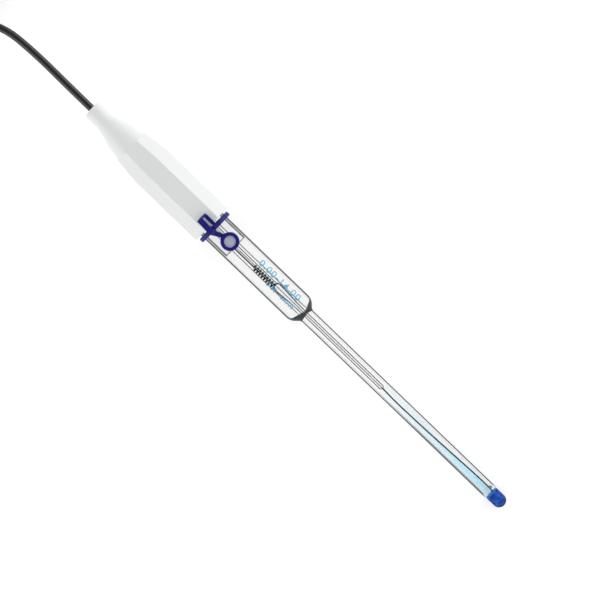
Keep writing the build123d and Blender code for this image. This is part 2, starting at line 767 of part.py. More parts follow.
electrode = {
    "cap_shell": cap_shell(),
    "cap_potting": cap_potting([cable_end, core_sleeve, braid_sleeve, core, pigtail, stem, capillary, reference,
                                lead]),
    "glass_body": glass_body(),
    "inner_sleeve": inner_sleeve(),
    "inner_stem": stem,
    "sensing_bulb": sensing_bulb(),
    "inner_filling": inner_filling(),
    "element_capillary": capillary,
    "element_lead": lead,
    "element_wire": element_wire(),
    "reference_wire": reference,
    "junction_frit": junction_frit(),
    "cable_core": core,
    "braid_pigtail": pigtail,
    "core_joint_sleeve": core_sleeve - core - lead,
    "braid_joint_sleeve": braid_sleeve - pigtail - reference,
    "stopper_band": stopper_band(),
    "stopper_strap": stopper_strap(),
    "stopper_eye": stopper_eye(),
    "stopper_peg": stopper_peg(),
}
plug = {
    "plug_boot": plug_boot(),
    "plug_ferrule": plug_ferrule(),
    "plug_body": plug_body(),
    "plug_insulator": plug_insulator(),
    "plug_pin": plug_pin(),
    "plug_gasket": plug_gasket(),
    "plug_spring": plug_spring(),
    "plug_thrust_washer": plug_thrust_washer(),
    "plug_nut": plug_nut(),
}
hank = hank_solid()
cable = {
    "cable_run": cable_tube("cable_run", run_points) - hank,
    "cable_hank": hank,
    "cable_tail": cable_tube("cable_tail", tail_points) - hank,
    "hank_tie": hank_tie(hank),
}

nodes = {name: lying * shape for name, shape in electrode.items()}
nodes.update({name: plug_place * shape for name, shape in plug.items()})
nodes.update(cable)

os.makedirs("parts", exist_ok=True)
for name, shape in nodes.items():
    export_step(shape, f"parts/{name}.step")
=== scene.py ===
import json
import math

import bmesh
import bpy
import numpy as np
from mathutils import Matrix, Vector


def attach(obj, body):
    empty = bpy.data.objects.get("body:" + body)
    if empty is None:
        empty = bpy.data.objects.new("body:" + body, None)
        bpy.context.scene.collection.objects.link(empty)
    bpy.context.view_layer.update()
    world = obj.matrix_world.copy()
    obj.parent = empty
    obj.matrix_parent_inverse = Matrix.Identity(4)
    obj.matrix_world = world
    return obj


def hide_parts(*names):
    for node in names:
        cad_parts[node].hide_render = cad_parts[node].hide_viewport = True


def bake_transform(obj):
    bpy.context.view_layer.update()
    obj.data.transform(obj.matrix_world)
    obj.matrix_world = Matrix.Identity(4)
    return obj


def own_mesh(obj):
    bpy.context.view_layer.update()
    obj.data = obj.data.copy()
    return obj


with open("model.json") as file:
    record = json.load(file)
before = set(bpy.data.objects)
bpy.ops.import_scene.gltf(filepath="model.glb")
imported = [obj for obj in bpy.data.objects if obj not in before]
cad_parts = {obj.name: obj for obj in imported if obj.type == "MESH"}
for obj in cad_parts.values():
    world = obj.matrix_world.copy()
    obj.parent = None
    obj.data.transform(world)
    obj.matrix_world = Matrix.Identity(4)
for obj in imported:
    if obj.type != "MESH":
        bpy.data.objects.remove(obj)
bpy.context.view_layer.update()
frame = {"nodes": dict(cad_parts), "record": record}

# Camera: straight above, turned so that the electrode runs from the upper left to the lower right, and far
# enough away that nothing shows in perspective. The picture's width is measured at the electrode's axis.
MM = 0.001
FRAME_WIDTH = 229.0 * MM
FRAME_CENTRE = (-1.42 * MM, 2.45 * MM)
FRAME_TURN = math.radians(43.88)
AXIS_HEIGHT = 7 * MM
CAMERA_HEIGHT = 2.0
CAMERA_REACH = (0.05, 20.0)
SENSOR = 36.0
camera_data = bpy.data.cameras.new("camera")
camera_data.sensor_width = SENSOR
camera_data.lens = SENSOR * (CAMERA_HEIGHT - AXIS_HEIGHT) / FRAME_WIDTH
camera_data.clip_start, camera_data.clip_end = CAMERA_REACH
camera = bpy.data.objects.new("camera", camera_data)
camera.location = (*FRAME_CENTRE, CAMERA_HEIGHT)
camera.rotation_euler = (0.0, 0.0, FRAME_TURN)
bpy.context.scene.collection.objects.link(camera)
bpy.context.scene.camera = camera

# Floor: a white light table under everything, whose own glow leaves only faint shadows.
FLOOR_HALF = 1.5
FLOOR_DROP = 0.1 * MM
FLOOR_WHITE = (0.60, 0.60, 0.60, 1)
FLOOR_GLOW = 0.58


def set_sockets(node, sockets):
    """Gives sockets of a node their values, or links them to outputs of other nodes."""
    for socket, value in sockets.items():
        if isinstance(value, bpy.types.NodeSocket):
            node.id_data.links.new(value, node.inputs[socket])
        else:
            node.inputs[socket].default_value = value


def new_material(name):
    """A material with its node tree and its Principled shader, ready for its sockets to be set."""
    material = bpy.data.materials.new(name)
    material.use_nodes = True
    return material, material.node_tree, material.node_tree.nodes["Principled BSDF"]


def new_piece(name, points, faces, material, smooth=True):
    """A mesh object at the origin from arrays of points and faces."""
    mesh = bpy.data.meshes.new(name)
    mesh.from_pydata(np.asarray(points, float).reshape(-1, 3).tolist(), [], np.asarray(faces, int).tolist())
    mesh.update()
    mesh.polygons.foreach_set("use_smooth", [smooth] * len(mesh.polygons))
    piece = bpy.data.objects.new(name, mesh)
    bpy.context.scene.collection.objects.link(piece)
    mesh.materials.append(material)
    return piece


floor_material, _, floor_shader = new_material("floor_white")
set_sockets(floor_shader, {
    "Base Color": FLOOR_WHITE,
    "Emission Color": (1, 1, 1, 1),
    "Emission Strength": FLOOR_GLOW,
    "Roughness": 0.9,
    "Specular IOR Level": 0.1,
})
floor_corners = np.array([[-1, -1, 0], [1, -1, 0], [1, 1, 0], [-1, 1, 0]]) * FLOOR_HALF
floor_corners -= np.array([0, 0, FLOOR_DROP])
floor = new_piece("floor", floor_corners, [[0, 1, 2, 3]], floor_material, smooth=False)

# Light: a bright white surround that is much dimmer overhead and near the table, one large soft box low at
# the picture's upper right and a weaker one across from it, so that the cap's upward flat is its darkest.
SURROUND_SIDE = 1.5
SURROUND_TOP = 0.18
SURROUND_DIMS_FROM = 0.25
SURROUND_HORIZON = 0.30
SURROUND_FULL_FROM = 0.2
PICTURE_RIGHT = np.array([math.cos(FRAME_TURN), math.sin(FRAME_TURN), 0.0])
PICTURE_UP = np.array([-math.sin(FRAME_TURN), math.cos(FRAME_TURN), 0.0])
SOFT_BOX_SIZE = 0.9
SOFT_BOXES = {
    "key": (0.85 * PICTURE_RIGHT + 0.85 * PICTURE_UP + np.array([0, 0, 0.45]), 5.2),
    "fill": (-0.85 * PICTURE_RIGHT - 0.75 * PICTURE_UP + np.array([0, 0, 0.42]), 2.7),
}


def add_node(tree, kind, sockets, **settings):
    """A new node of a kind, with its settings made first and then its sockets set or linked."""
    node = tree.nodes.new(kind)
    for setting, value in settings.items():
        setattr(node, setting, value)
    set_sockets(node, sockets)
    return node


def calculate(tree, operation, *values):
    """Output of a math node on outputs or numbers."""
    node = add_node(tree, "ShaderNodeMath", dict(enumerate(values)), operation=operation)
    return node.outputs["Value"]


def ramp(tree, value, start, full, low=0.0, high=1.0, shape="SMOOTHSTEP"):
    """Output that goes from low to high while the value goes from start to full."""
    sockets = {"Value": value, "From Min": start, "From Max": full, "To Min": low, "To Max": high}
    return add_node(tree, "ShaderNodeMapRange", sockets, interpolation_type=shape).outputs["Result"]


world = bpy.data.worlds.new("surround")
world.use_nodes = True
bpy.context.scene.world = world
sky = world.node_tree
direction = sky.nodes.new("ShaderNodeTexCoord").outputs["Generated"]
height = add_node(sky, "ShaderNodeSeparateXYZ", {"Vector": direction}).outputs["Z"]
overhead = ramp(sky, height, SURROUND_DIMS_FROM, 1.0, SURROUND_SIDE, SURROUND_TOP, shape="LINEAR")
horizon = ramp(sky, height, 0.0, SURROUND_FULL_FROM, SURROUND_HORIZON, 1.0, shape="LINEAR")
set_sockets(sky.nodes["Background"], {
    "Color": (1, 1, 1, 1),
    "Strength": calculate(sky, "MULTIPLY", overhead, horizon),
})
for name, (place, power) in SOFT_BOXES.items():
    light_data = bpy.data.lights.new(name, "AREA")
    light_data.shape = "DISK"
    light_data.size = SOFT_BOX_SIZE
    light_data.energy = power
    light = bpy.data.objects.new(name, light_data)
    light.location = place
    light.rotation_euler = Vector(-place).to_track_quat("-Z", "Y").to_euler()
    bpy.context.scene.collection.objects.link(light)
bpy.context.scene.view_settings.view_transform = "Standard"

# Lead: 0.9 m of round coaxial cable with a glossy black jacket. It leaves the cap's neck, sinks to the table,
# and is put away in a folded hank of seven turns, from whose lowest turn a short tail runs to the plug.
CABLE_DIAMETER = 3.0 * MM
JACKET_DARK = (0.008, 0.008, 0.009, 1)
JACKET_LIGHT = (0.022, 0.022, 0.024, 1)
JACKET_MOTTLE = 900.0
CAP_LENGTH = 63.4 * MM
CABLE_START_IN_NECK = 1.0 * MM
STRAIGHT_OUT = 9.6 * MM
CABLE_ROUTE = np.array([(-140.0, 0.3, 10.0), (-156.0, -1.0, 9.7), (-169.3, -10.0, 11.0)]) * MM
HANK_NEAR = -176.0 * MM
HANK_STRAIGHT = 23.5 * MM
HANK_RADII = np.array([12.0, 9.0]) * MM
HANK_LEVELS = np.array([11.0, 8.0, 5.0, 2.0]) * MM
TURNS = 7
TURN_POINTS = 28
FIRST_SHIFT = 0.30
SHIFT_SHARE = 0.098
TAIL = np.array([(-178.0, -12.0, 2.0), (-195.0, -12.0, 2.0), (-202.0, -12.0, 2.0)]) * MM
BOOT_TO_MOUTH = 32.8 * MM
CABLE_IN_BOOT = 8.0 * MM

# The electrode lies on the cap's lower edge and the shaft's end, so its own axis falls a little towards the
# bulb. These directions and the cap's lower end come from the record's mount and joint.
record = frame["record"]
barrel_mount = next(mount for mount in record["mounts"] if mount["name"] == "barrel_outside")
plug_face = next(mount for mount in record["mounts"] if mount["name"] == "plug_face")
stopper_joint = next(joint for joint in record["behaviour"]["joints"] if joint["name"] == "stopper_pull")
ALONG = np.array(barrel_mount["axis"])
ACROSS = np.array([0.0, 1.0, 0.0])
UPWARD = np.array(stopper_joint["axis"])
BARREL_MOUNT_FROM_CAP = 29.5 * MM
CAP_END = np.array(barrel_mount["pos_m"]) - BARREL_MOUNT_FROM_CAP * ALONG
PLUG_AXIS = np.array(plug_face["axis"])
BOOT_START = np.array(plug_face["pos_m"]) - BOOT_TO_MOUTH * PLUG_AXIS


def on_electrode(x, y=0.0, z=0.0):
    """Points in the row's frame: x along the electrode from the cap's lower end, y across it, z up from its
    axis."""
    x, y, z = np.broadcast_arrays(np.asarray(x, float), y, z)
    return CAP_END + x[..., None] * ALONG + y[..., None] * ACROSS + z[..., None] * UPWARD


def clouds(tree, scale, detail=2.0):
    """Output of a cloudy pattern on Object coordinates, with its scale in clouds per metre."""
    place = tree.nodes.new("ShaderNodeTexCoord").outputs["Object"]
    sockets = {"Vector": place, "Scale": scale, "Detail": detail}
    return add_node(tree, "ShaderNodeTexNoise", sockets).outputs["Fac"]


def mixed(tree, factor, first, second):
    """Colour output that goes from the first to the second as the factor goes from 0 to 1."""
    sockets = {"Factor": factor, "A": first, "B": second}
    return add_node(tree, "ShaderNodeMix", sockets, data_type="RGBA").outputs["Result"]


def uneven(tree, height, depth, strength):
    """Normal output of a surface that is uneven by a depth, as the height says."""
    sockets = {"Height": height, "Distance": depth, "Strength": strength}
    return add_node(tree, "ShaderNodeBump", sockets).outputs["Normal"]


def racetrack(share, radius):
    """Points of a turn at shares of its length: along -X on the -Y side, round the far end by an angle of
    distance over radius, back along +X on the +Y side, and round the near end in the same way."""
    bend = np.pi * radius
    distance = share * 2 * (HANK_STRAIGHT + bend)
    far_end = HANK_NEAR - HANK_STRAIGHT
    after_far_bend = HANK_STRAIGHT + bend
    far_angle = -np.pi / 2 - (distance - HANK_STRAIGHT) / radius
    near_angle = np.pi / 2 - (distance - after_far_bend - HANK_STRAIGHT) / radius
    ends = (HANK_STRAIGHT, after_far_bend, after_far_bend + HANK_STRAIGHT)
    stretches = [distance < end for end in ends]
    x = np.select(
        stretches,
        [HANK_NEAR - distance, far_end + radius * np.cos(far_angle), far_end + distance - after_far_bend],
        HANK_NEAR + radius * np.cos(near_angle))
    y = np.select(stretches, [-radius, radius * np.sin(far_angle), radius], radius * np.sin(near_angle))
    return x, y


def hank_points():
    """Turns of the hank. Each turn lies in one place of a stack two wide and four high, and shifts to the
    next place a little further round than the turn below it, into the place that that one has left."""
    side = np.array([0, 1, 1, 0, 0, 1, 1, 0])
    layer = np.array([0, 0, 1, 1, 2, 2, 3, 3])
    turn, step = np.meshgrid(np.arange(TURNS), np.arange(TURN_POINTS), indexing="ij")
    share = step / TURN_POINTS
    start = FIRST_SHIFT + (TURNS - 1 - turn) * SHIFT_SHARE
    moved = np.clip((share - start) / SHIFT_SHARE, 0.0, 1.0)
    radius = HANK_RADII[side[turn]] * (1 - moved) + HANK_RADII[side[turn + 1]] * moved
    level = HANK_LEVELS[layer[turn]] * (1 - moved) + HANK_LEVELS[layer[turn + 1]] * moved
    x, y = racetrack(share, radius)
    return np.stack([x, y, level], -1).reshape(-1, 3)


jacket_material, jacket_tree, jacket_shader = new_material("cable_jacket")
jacket_mottle = clouds(jacket_tree, JACKET_MOTTLE)
set_sockets(jacket_shader, {
    "Base Color": mixed(jacket_tree, jacket_mottle, JACKET_DARK, JACKET_LIGHT),
    "Normal": uneven(jacket_tree, jacket_mottle, depth=0.05 * MM, strength=0.06),
    "Roughness": 0.22,
    "Specular IOR Level": 0.45,
})
cable_exit = on_electrode(-CAP_LENGTH + CABLE_START_IN_NECK)
cable_points = np.concatenate([
    [cable_exit, on_electrode(-CAP_LENGTH - STRAIGHT_OUT)],
    CABLE_ROUTE,
    hank_points(),
    TAIL,
    [BOOT_START + CABLE_IN_BOOT * PLUG_AXIS],
])
cable_curve = bpy.data.curves.new("cable", "CURVE")
cable_curve.dimensions = "3D"
cable_curve.bevel_depth = CABLE_DIAMETER / 2
cable_curve.bevel_resolution = 6
cable_curve.resolution_u = 6
cable_curve.use_fill_caps = True
spline = cable_curve.splines.new("NURBS")
spline.points.add(len(cable_points) - 1)
spline.points.foreach_set("co", np.column_stack([cable_points, np.ones(len(cable_points))]).ravel())
spline.order_u = 3
spline.use_endpoint_u = True
cable = bpy.data.objects.new("cable", cable_curve)
bpy.context.scene.collection.objects.link(cable)
cable_curve.materials.append(jacket_material)
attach(cable, "electrode")
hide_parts("cable_run", "cable_hank", "cable_tail")

# Tie: a flat strap of black nylon, moulded with fine ribs across it. It is pulled tight round the middle of
# the hank, so that the seven turns lie close together.
TIE_BLACK = (0.015, 0.015, 0.016, 1)
TIE_RIB_SCALE = 200.0


def dress(material, *nodes):
    """Gives CAD nodes their finished material."""
    for node in nodes:
        for slot in frame["nodes"][node].material_slots:
            slot.material = material


tie_material, tie_tree, tie_shader = new_material("tie_nylon")
tie_place = tie_tree.nodes.new("ShaderNodeTexCoord").outputs["Object"]
tie_wave = {"Vector": tie_place, "Scale": TIE_RIB_SCALE}
tie_ribs = add_node(tie_tree, "ShaderNodeTexWave", tie_wave, bands_direction="X").outputs["Fac"]
set_sockets(tie_shader, {
    "Base Color": TIE_BLACK,
    "Normal": uneven(tie_tree, tie_ribs, depth=0.2 * MM, strength=0.3),
    "Roughness": 0.45,
})
dress(tie_material, "hank_tie")

# Cap: one hollow moulding of satin white plastic, with a round neck for the cable and eight flats with soft
# corners. Grey resin is cast into it, and holds the glass, the wires and the end of the cable.
CAP_LIGHT, CAP_DARK = (0.80, 0.81, 0.81), (0.76, 0.77, 0.77)
RESIN_LIGHT, RESIN_DARK = (0.50, 0.49, 0.45), (0.38, 0.37, 0.34)


def moulded_skin_group():
    """Shade between two colours and a slightly uneven normal, both from clouds on Object coordinates."""
    group = bpy.data.node_groups.new("moulded_skin", "ShaderNodeTree")
    for name, kind in (("Light", "Color"), ("Dark", "Color"), ("Mottle Scale", "Float"),
                       ("Grain Scale", "Float"), ("Depth", "Float")):
        group.interface.new_socket(name, in_out="INPUT", socket_type="NodeSocket" + kind)
    for name, kind in (("Color", "Color"), ("Normal", "Vector")):
        group.interface.new_socket(name, in_out="OUTPUT", socket_type="NodeSocket" + kind)
    given = group.nodes.new("NodeGroupInput").outputs
    mottle = clouds(group, given["Mottle Scale"], detail=4.0)
    grain = clouds(group, given["Grain Scale"])
    add_node(group, "NodeGroupOutput", {
        "Color": mixed(group, mottle, given["Light"], given["Dark"]),
        "Normal": uneven(group, grain, given["Depth"], strength=0.35),
    })
    return group


MOULDED_SKIN = moulded_skin_group()


def moulded(name, light, dark, roughness, mottle=60.0, grain=2500.0, depth=0.02 * MM, finish=None):
    """A material with the moulded skin between two colours. The finish holds any other sockets."""
    material, tree, shader = new_material(name)
    skin = add_node(tree, "ShaderNodeGroup", {}, node_tree=MOULDED_SKIN)
    set_sockets(skin, {
        "Light": (*light, 1),
        "Dark": (*dark, 1),
        "Mottle Scale": mottle,
        "Grain Scale": grain,
        "Depth": depth,
    })
    set_sockets(shader, {
        "Base Color": skin.outputs["Color"],
        "Normal": skin.outputs["Normal"],
        "Roughness": roughness,
        **(finish or {}),
    })
    return material


cap_material = moulded("cap_white", CAP_LIGHT, CAP_DARK, roughness=0.36, mottle=35.0, grain=1800.0,
                       depth=0.01 * MM, finish={"Specular IOR Level": 0.4})
dress(cap_material, "cap_shell")
dress(moulded("potting_resin", RESIN_LIGHT, RESIN_DARK, roughness=0.5), "cap_potting")

# Glass: three tubes of clear glass, the body blown and closed in on the stem at its tip, the capillary down
# the stem's middle. They show by their edges, which are painted dark against the light table as painted
# shade, in place of the light that real glass bends away: where one looks along a wall and where the shoulder
# turns down. On the side away from the light the shoulder's dark edge is painted wider, and the slim shaft
# has a painted shadow band.
# Painted shade: the dark colours of the tubes' edges, where real glass bends the light away.
TUBE_EDGE_SHADE = (0.05, 0.055, 0.06, 1)
CAPILLARY_EDGE_SHADE = (0.015, 0.017, 0.02, 1)
SHOULDER_END = 51.2 * MM
SHOULDER_TURN = (0.25, 0.62)
SHOULDER_FADE = 3 * MM
# The shoulder's dark edge is painted wider on the side away from the light, as painted shade.
SHOULDER_SHADED_WIDTHS = (-0.4, 0.6, 0.24, 0.36)
SHAFT_WIDTH = 0.08
SHAFT_WIDENS_OVER = 4 * MM
# Painted shadow: a grey band along the slim shaft's side away from the light, where the table's shadow shows
# through.
LEE_SHADOW_BAND = (0.56, 0.84, 0.0, 0.5)
LEE_SHADOW_BAND_ALONG = (85 * MM, 122 * MM, 0.25, 1.0)
LEE_SHADOW_BAND_STARTS_OVER = 8 * MM
BODY_FADE = (145.5 * MM, 147.6 * MM, 1.0, 0.3)
STEM_FADE = (44 * MM, 52 * MM, 1.0, 0.06)
# Thin glass is crossed many times on the way to the table and back to the lights: two walls of each tube.
bpy.context.scene.cycles.transparent_max_bounces = 40


def product(tree, first, *others):
    """Output of several outputs or numbers multiplied together."""
    for other in others:
        first = calculate(tree, "MULTIPLY", first, other)
    return first


def length_along(tree, vector, direction):
    """Output of the vector's length along a fixed direction."""
    sockets = {0: vector, 1: tuple(direction)}
    return add_node(tree, "ShaderNodeVectorMath", sockets, operation="DOT_PRODUCT").outputs["Value"]


def electrode_place(tree):
    """Outputs of a point's place along the electrode from the cap's lower end, across it and up from its
    axis."""
    sockets = {0: tree.nodes.new("ShaderNodeTexCoord").outputs["Object"], 1: tuple(CAP_END)}
    offset = add_node(tree, "ShaderNodeVectorMath", sockets, operation="SUBTRACT").outputs["Vector"]
    return [length_along(tree, offset, direction) for direction in (ALONG, ACROSS, UPWARD)]


def clear_glass(name, colour, edge, bore_share, least, is_body=False, fade=None, rim=None):
    """Clear wall: it has its least cover face on, and full cover in its painted dark edge colour where it
    turns away past the edge's two values. Its bore has a share of the edge that its outside has. The body's
    edge is wider where its shoulder turns across the tube, wider still there as painted shade on the side
    away from the light, and along the slim shaft, whose side away from the light has a painted shadow band.
    Fade and rim are ramps along the tube, of what is left of the edge and of a painted dark end."""
    material, tree, shader = new_material(name)
    slope = add_node(tree, "ShaderNodeLayerWeight", {"Blend": 0.5}).outputs["Facing"]
    normal = tree.nodes.new("ShaderNodeTexCoord").outputs["Normal"]
    back = tree.nodes.new("ShaderNodeNewGeometry").outputs["Backfacing"]
    outward = calculate(tree, "SUBTRACT", 1.0, product(tree, back, 2.0))
    along, across, up = electrode_place(tree)
    normal_across = length_along(tree, normal, ACROSS)
    radial = calculate(tree, "ADD", product(tree, across, normal_across),
                       product(tree, up, length_along(tree, normal, UPWARD)))
    outside = calculate(tree, "GREATER_THAN", product(tree, radial, outward), 0.0)
    share = calculate(tree, "ADD", product(tree, outside, 1.0 - bore_share), bore_share)
    # On the body, painted shade widens the shoulder's dark edge on the side away from the light.
    if is_body:
        lee = product(tree, normal_across, outward, -1.0)
        turn = calculate(tree, "ABSOLUTE", length_along(tree, normal, ALONG))
        until_shaft = ramp(tree, along, SHOULDER_END, SHOULDER_END + SHOULDER_FADE, 1.0, 0.0)
        on_shoulder = product(tree, ramp(tree, turn, *SHOULDER_TURN), until_shaft)
        slope = calculate(tree, "ADD", slope, product(tree, on_shoulder, ramp(tree, lee, *SHOULDER_SHADED_WIDTHS)))
        in_shaft = ramp(tree, along, SHOULDER_END - SHAFT_WIDENS_OVER, SHOULDER_END, 0.0, SHAFT_WIDTH)
        slope = calculate(tree, "ADD", slope, in_shaft)
    cover = product(tree, ramp(tree, slope, *edge), share)
    # On the body, a painted shadow band lies along the shaft's side away from the light.
    if is_body:
        past_shoulder = ramp(tree, along, SHOULDER_END, SHOULDER_END + LEE_SHADOW_BAND_STARTS_OVER)
        band = product(tree, ramp(tree, lee, *LEE_SHADOW_BAND), ramp(tree, along, *LEE_SHADOW_BAND_ALONG), outside,
                       past_shoulder)
        cover = calculate(tree, "MAXIMUM", cover, band)
    if fade:
        cover = product(tree, cover, ramp(tree, along, *fade))
    if rim:
        cover = calculate(tree, "MAXIMUM", cover, ramp(tree, along, *rim))
    set_sockets(shader, {
        "Alpha": calculate(tree, "MAXIMUM", cover, least),
        "Base Color": colour,
        "IOR": 1.45,
        "Roughness": 0.05,
        "Specular IOR Level": 0.06,
    })
    return material


body_glass = clear_glass("body_glass", TUBE_EDGE_SHADE, edge=(0.50, 0.62), bore_share=0.08, least=0.018,
                         is_body=True, fade=BODY_FADE)
stem_glass = clear_glass("stem_glass", TUBE_EDGE_SHADE, edge=(0.42, 0.58), bore_share=0.08, least=0.006,
                         fade=STEM_FADE)
capillary_glass = clear_glass("capillary_glass", CAPILLARY_EDGE_SHADE, edge=(0.20, 0.36), bore_share=0.05,
                              least=0.004)
dress(body_glass, "glass_body")
dress(stem_glass, "inner_stem")
dress(capillary_glass, "element_capillary")

# Liner: a thin clear sleeve that stands in the barrel's top, under the fill hole, with its upper end held in
# the resin. It shows by its painted dark edges and by a painted dark rim at its lower end, painted shade
# where its cut end bends the light away.
LINER_EDGE_SHADE = (0.10, 0.11, 0.12, 1)
LINER_END = 12.7 * MM
LINER_SHADED_RIM = (LINER_END - 0.5 * MM, LINER_END - 0.2 * MM, 0.0, 0.35)
liner_material = clear_glass("liner_clear", LINER_EDGE_SHADE, edge=(0.45, 0.7), bore_share=0.3, least=0.012,
                             rim=LINER_SHADED_RIM)
dress(liner_material, "inner_sleeve")

# Filling: pale blue gel in the stem and the bulb, round the element's wire. It is stronger in colour towards
# the bulb. There its colour is painted light on the side of the wire where the light comes out and faded on
# the other side as painted shade, and the gel has a painted glow, so that it reads lighter.
GEL_START = 90.8 * MM
GEL_END = 148.1 * MM
GEL_RADIUS = 1.75 * MM
GEL_SKIN = 0.2 * MM
GEL_INSET = 0.02 * MM
GEL_PALE = (0.20, 0.90, 1.0, 1)
GEL_BLUE = (0.10, 0.80, 1.0, 1)
# Painted glow: light that the gel gives off, though it is no lamp.
GEL_PAINTED_GLOW = (0.30, 0.66, 1.0, 1)
GEL_COVER = (0.11, 0.46)
# Painted shade: along this stretch the gel fades on the side of the wire away from the light.
GEL_ONE_SIDED = (GEL_START + 15 * MM, GEL_START + 35 * MM)
GEL_SHADED_SIDE = (0.3 * MM, 1.0 * MM, 0.0, 0.95)
gel_material, gel_tree, gel_shader = new_material("blue_gel")
gel_along, gel_across, gel_up = electrode_place(gel_tree)
gel_to_bulb = ramp(gel_tree, gel_along, GEL_START, GEL_END)
gel_deep = ramp(gel_tree, gel_along, GEL_START, GEL_END, *GEL_COVER)
gel_painted_shade = product(gel_tree, ramp(gel_tree, gel_along, *GEL_ONE_SIDED),
                     ramp(gel_tree, gel_across, *GEL_SHADED_SIDE))
gel_left = calculate(gel_tree, "SUBTRACT", 1.0, gel_painted_shade)
# It is seen by its far wall alone, so that it doesn't veil the wire in it.
gel_radius = calculate(gel_tree, "SQRT", calculate(
    gel_tree, "ADD", product(gel_tree, gel_across, gel_across), product(gel_tree, gel_up, gel_up)))
gel_outer = calculate(gel_tree, "GREATER_THAN", gel_radius, GEL_RADIUS - GEL_SKIN)
gel_far = gel_tree.nodes.new("ShaderNodeNewGeometry").outputs["Backfacing"]
set_sockets(gel_shader, {
    "Alpha": product(gel_tree, gel_deep, gel_left, gel_outer, gel_far),
    "Base Color": mixed(gel_tree, gel_to_bulb, GEL_PALE, GEL_BLUE),
    # Painted glow, so that the gel reads lighter.
    "Emission Color": GEL_PAINTED_GLOW,
    "Emission Strength": 0.27,
    "Roughness": 0.2,
    "Specular IOR Level": 0.1,
})
# Its surface is drawn in a little, so that none of it coincides with the tube's bore or the wire.
gel = frame["nodes"]["inner_filling"].copy()
gel.data = gel.data.copy()
gel.name = "gel"
gel.data.materials.clear()
gel.data.materials.append(gel_material)
bpy.context.scene.collection.objects.link(gel)
gel_weld = gel.modifiers.new("weld", "WELD")
gel_weld.merge_threshold = 0.001 * MM
gel_inset = gel.modifiers.new("inset", "DISPLACE")
gel_inset.direction = "NORMAL"
gel_inset.mid_level = 0.0
gel_inset.strength = -GEL_INSET
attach(gel, "electrode")
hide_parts("inner_filling")

# Bulb: a glossy membrane of royal blue sensing glass, blown on the end of the stem. Towards its end it is
# painted near black where one looks along its wall, a painted dark reflection, and at its root it is painted
# a lighter blue, as painted light shining through where the gel shows.
BULB_DEEP = (0.007, 0.032, 0.24, 1)
BULB_BLUE = (0.027, 0.12, 0.53, 1)
# Painted reflection: the dark colour where one looks along the bulb's wall.
BULB_EDGE_REFLECTION = (0.025, 0.025, 0.035, 1)
# Painted light: the lighter blue at the root, where light shines through.
BULB_LIT_ROOT = (0.06, 0.26, 0.66, 1)
BULB_CLOUDS = 700.0
BULB_CLOUD_RANGE = (0.32, 0.68)
BULB_EDGE_SLOPE = (0.22, 0.52)
BULB_EDGE_ALONG = (GEL_END + 4.4 * MM, GEL_END + 6.0 * MM, 0.2, 1.0)
BULB_ROOT_ALONG = (GEL_END - 0.2 * MM, GEL_END + 1.0 * MM)
bulb_material, bulb_tree, bulb_shader = new_material("sensing_blue")
bulb_slope = add_node(bulb_tree, "ShaderNodeLayerWeight", {"Blend": 0.5}).outputs["Facing"]
bulb_along, _, _ = electrode_place(bulb_tree)
bulb_cloud = ramp(bulb_tree, clouds(bulb_tree, BULB_CLOUDS), *BULB_CLOUD_RANGE)
bulb_edge_reflection = product(bulb_tree, ramp(bulb_tree, bulb_slope, *BULB_EDGE_SLOPE),
                    ramp(bulb_tree, bulb_along, *BULB_EDGE_ALONG))
bulb_shade = mixed(bulb_tree, bulb_edge_reflection, mixed(bulb_tree, bulb_cloud, BULB_DEEP, BULB_BLUE), BULB_EDGE_REFLECTION)
bulb_past_root = ramp(bulb_tree, bulb_along, *BULB_ROOT_ALONG)
set_sockets(bulb_shader, {
    "Base Color": mixed(bulb_tree, bulb_past_root, BULB_LIT_ROOT, bulb_shade),
    "Roughness": 0.08,
    "Specular IOR Level": 0.06,
})
dress(bulb_material, "sensing_bulb")

# Wires: silver wire, bright in the capillary and the cap and darkly coated below, where it dips into its
# filling. The core's white insulation ends in two shrunk black sleeves, and a pin of porous grey ceramic is
# sealed into the shaft's wall.
coated_wire = moulded("coated_wire", (0.012, 0.022, 0.025), (0.005, 0.009, 0.011), roughness=0.5,
                      mottle=900.0, finish={"Specular IOR Level": 0.15})
bright_wire = moulded("bright_wire", (0.28, 0.28, 0.29), (0.18, 0.18, 0.19), roughness=0.35, mottle=900.0,
                      finish={"Metallic": 1.0})
junction_ceramic = moulded("junction_ceramic", (0.13, 0.12, 0.13), (0.24, 0.23, 0.24), roughness=0.8,
                           mottle=2500.0)
core_insulation = moulded("core_insulation", (0.85, 0.85, 0.83), (0.78, 0.78, 0.76), roughness=0.5)
shrunk_sleeve = moulded("shrunk_sleeve", (0.02, 0.02, 0.02), (0.035, 0.035, 0.035), roughness=0.55)
dress(coated_wire, "element_wire", "reference_wire")
dress(bright_wire, "element_lead", "braid_pigtail")
dress(junction_ceramic, "junction_frit")
dress(core_insulation, "cable_core")
dress(shrunk_sleeve, "core_joint_sleeve", "braid_joint_sleeve")

# Stopper: one deep blue silicone moulding of a ring, a hairpin strap and an eye, stretched over the barrel.
# The eye pulls up off the fill hole and the strap bends, but the skin is built at rest only. It is made from
# the three solids, grown into one with soft corners.
SILICONE_LIGHT, SILICONE_DARK = (0.013, 0.012, 0.19), (0.009, 0.008, 0.15)
SILICONE_NODES = ("stopper_band", "stopper_strap", "stopper_eye")
SILICONE_WELD = 0.002 * MM
SILICONE_STEP = 0.11 * MM
SOFTENING_ROUNDS = 3
STRAP_BEND_START = tuple(on_electrode(2.6 * MM, 0, 11.2 * MM))
STRAP_BEND_END = tuple(on_electrode(5.6 * MM, 0, 7.4 * MM))


def mesh_points(mesh):
    """Points of a mesh as an array."""
    points = np.empty(3 * len(mesh.vertices))
    mesh.vertices.foreach_get("co", points)
    return points.reshape(-1, 3)


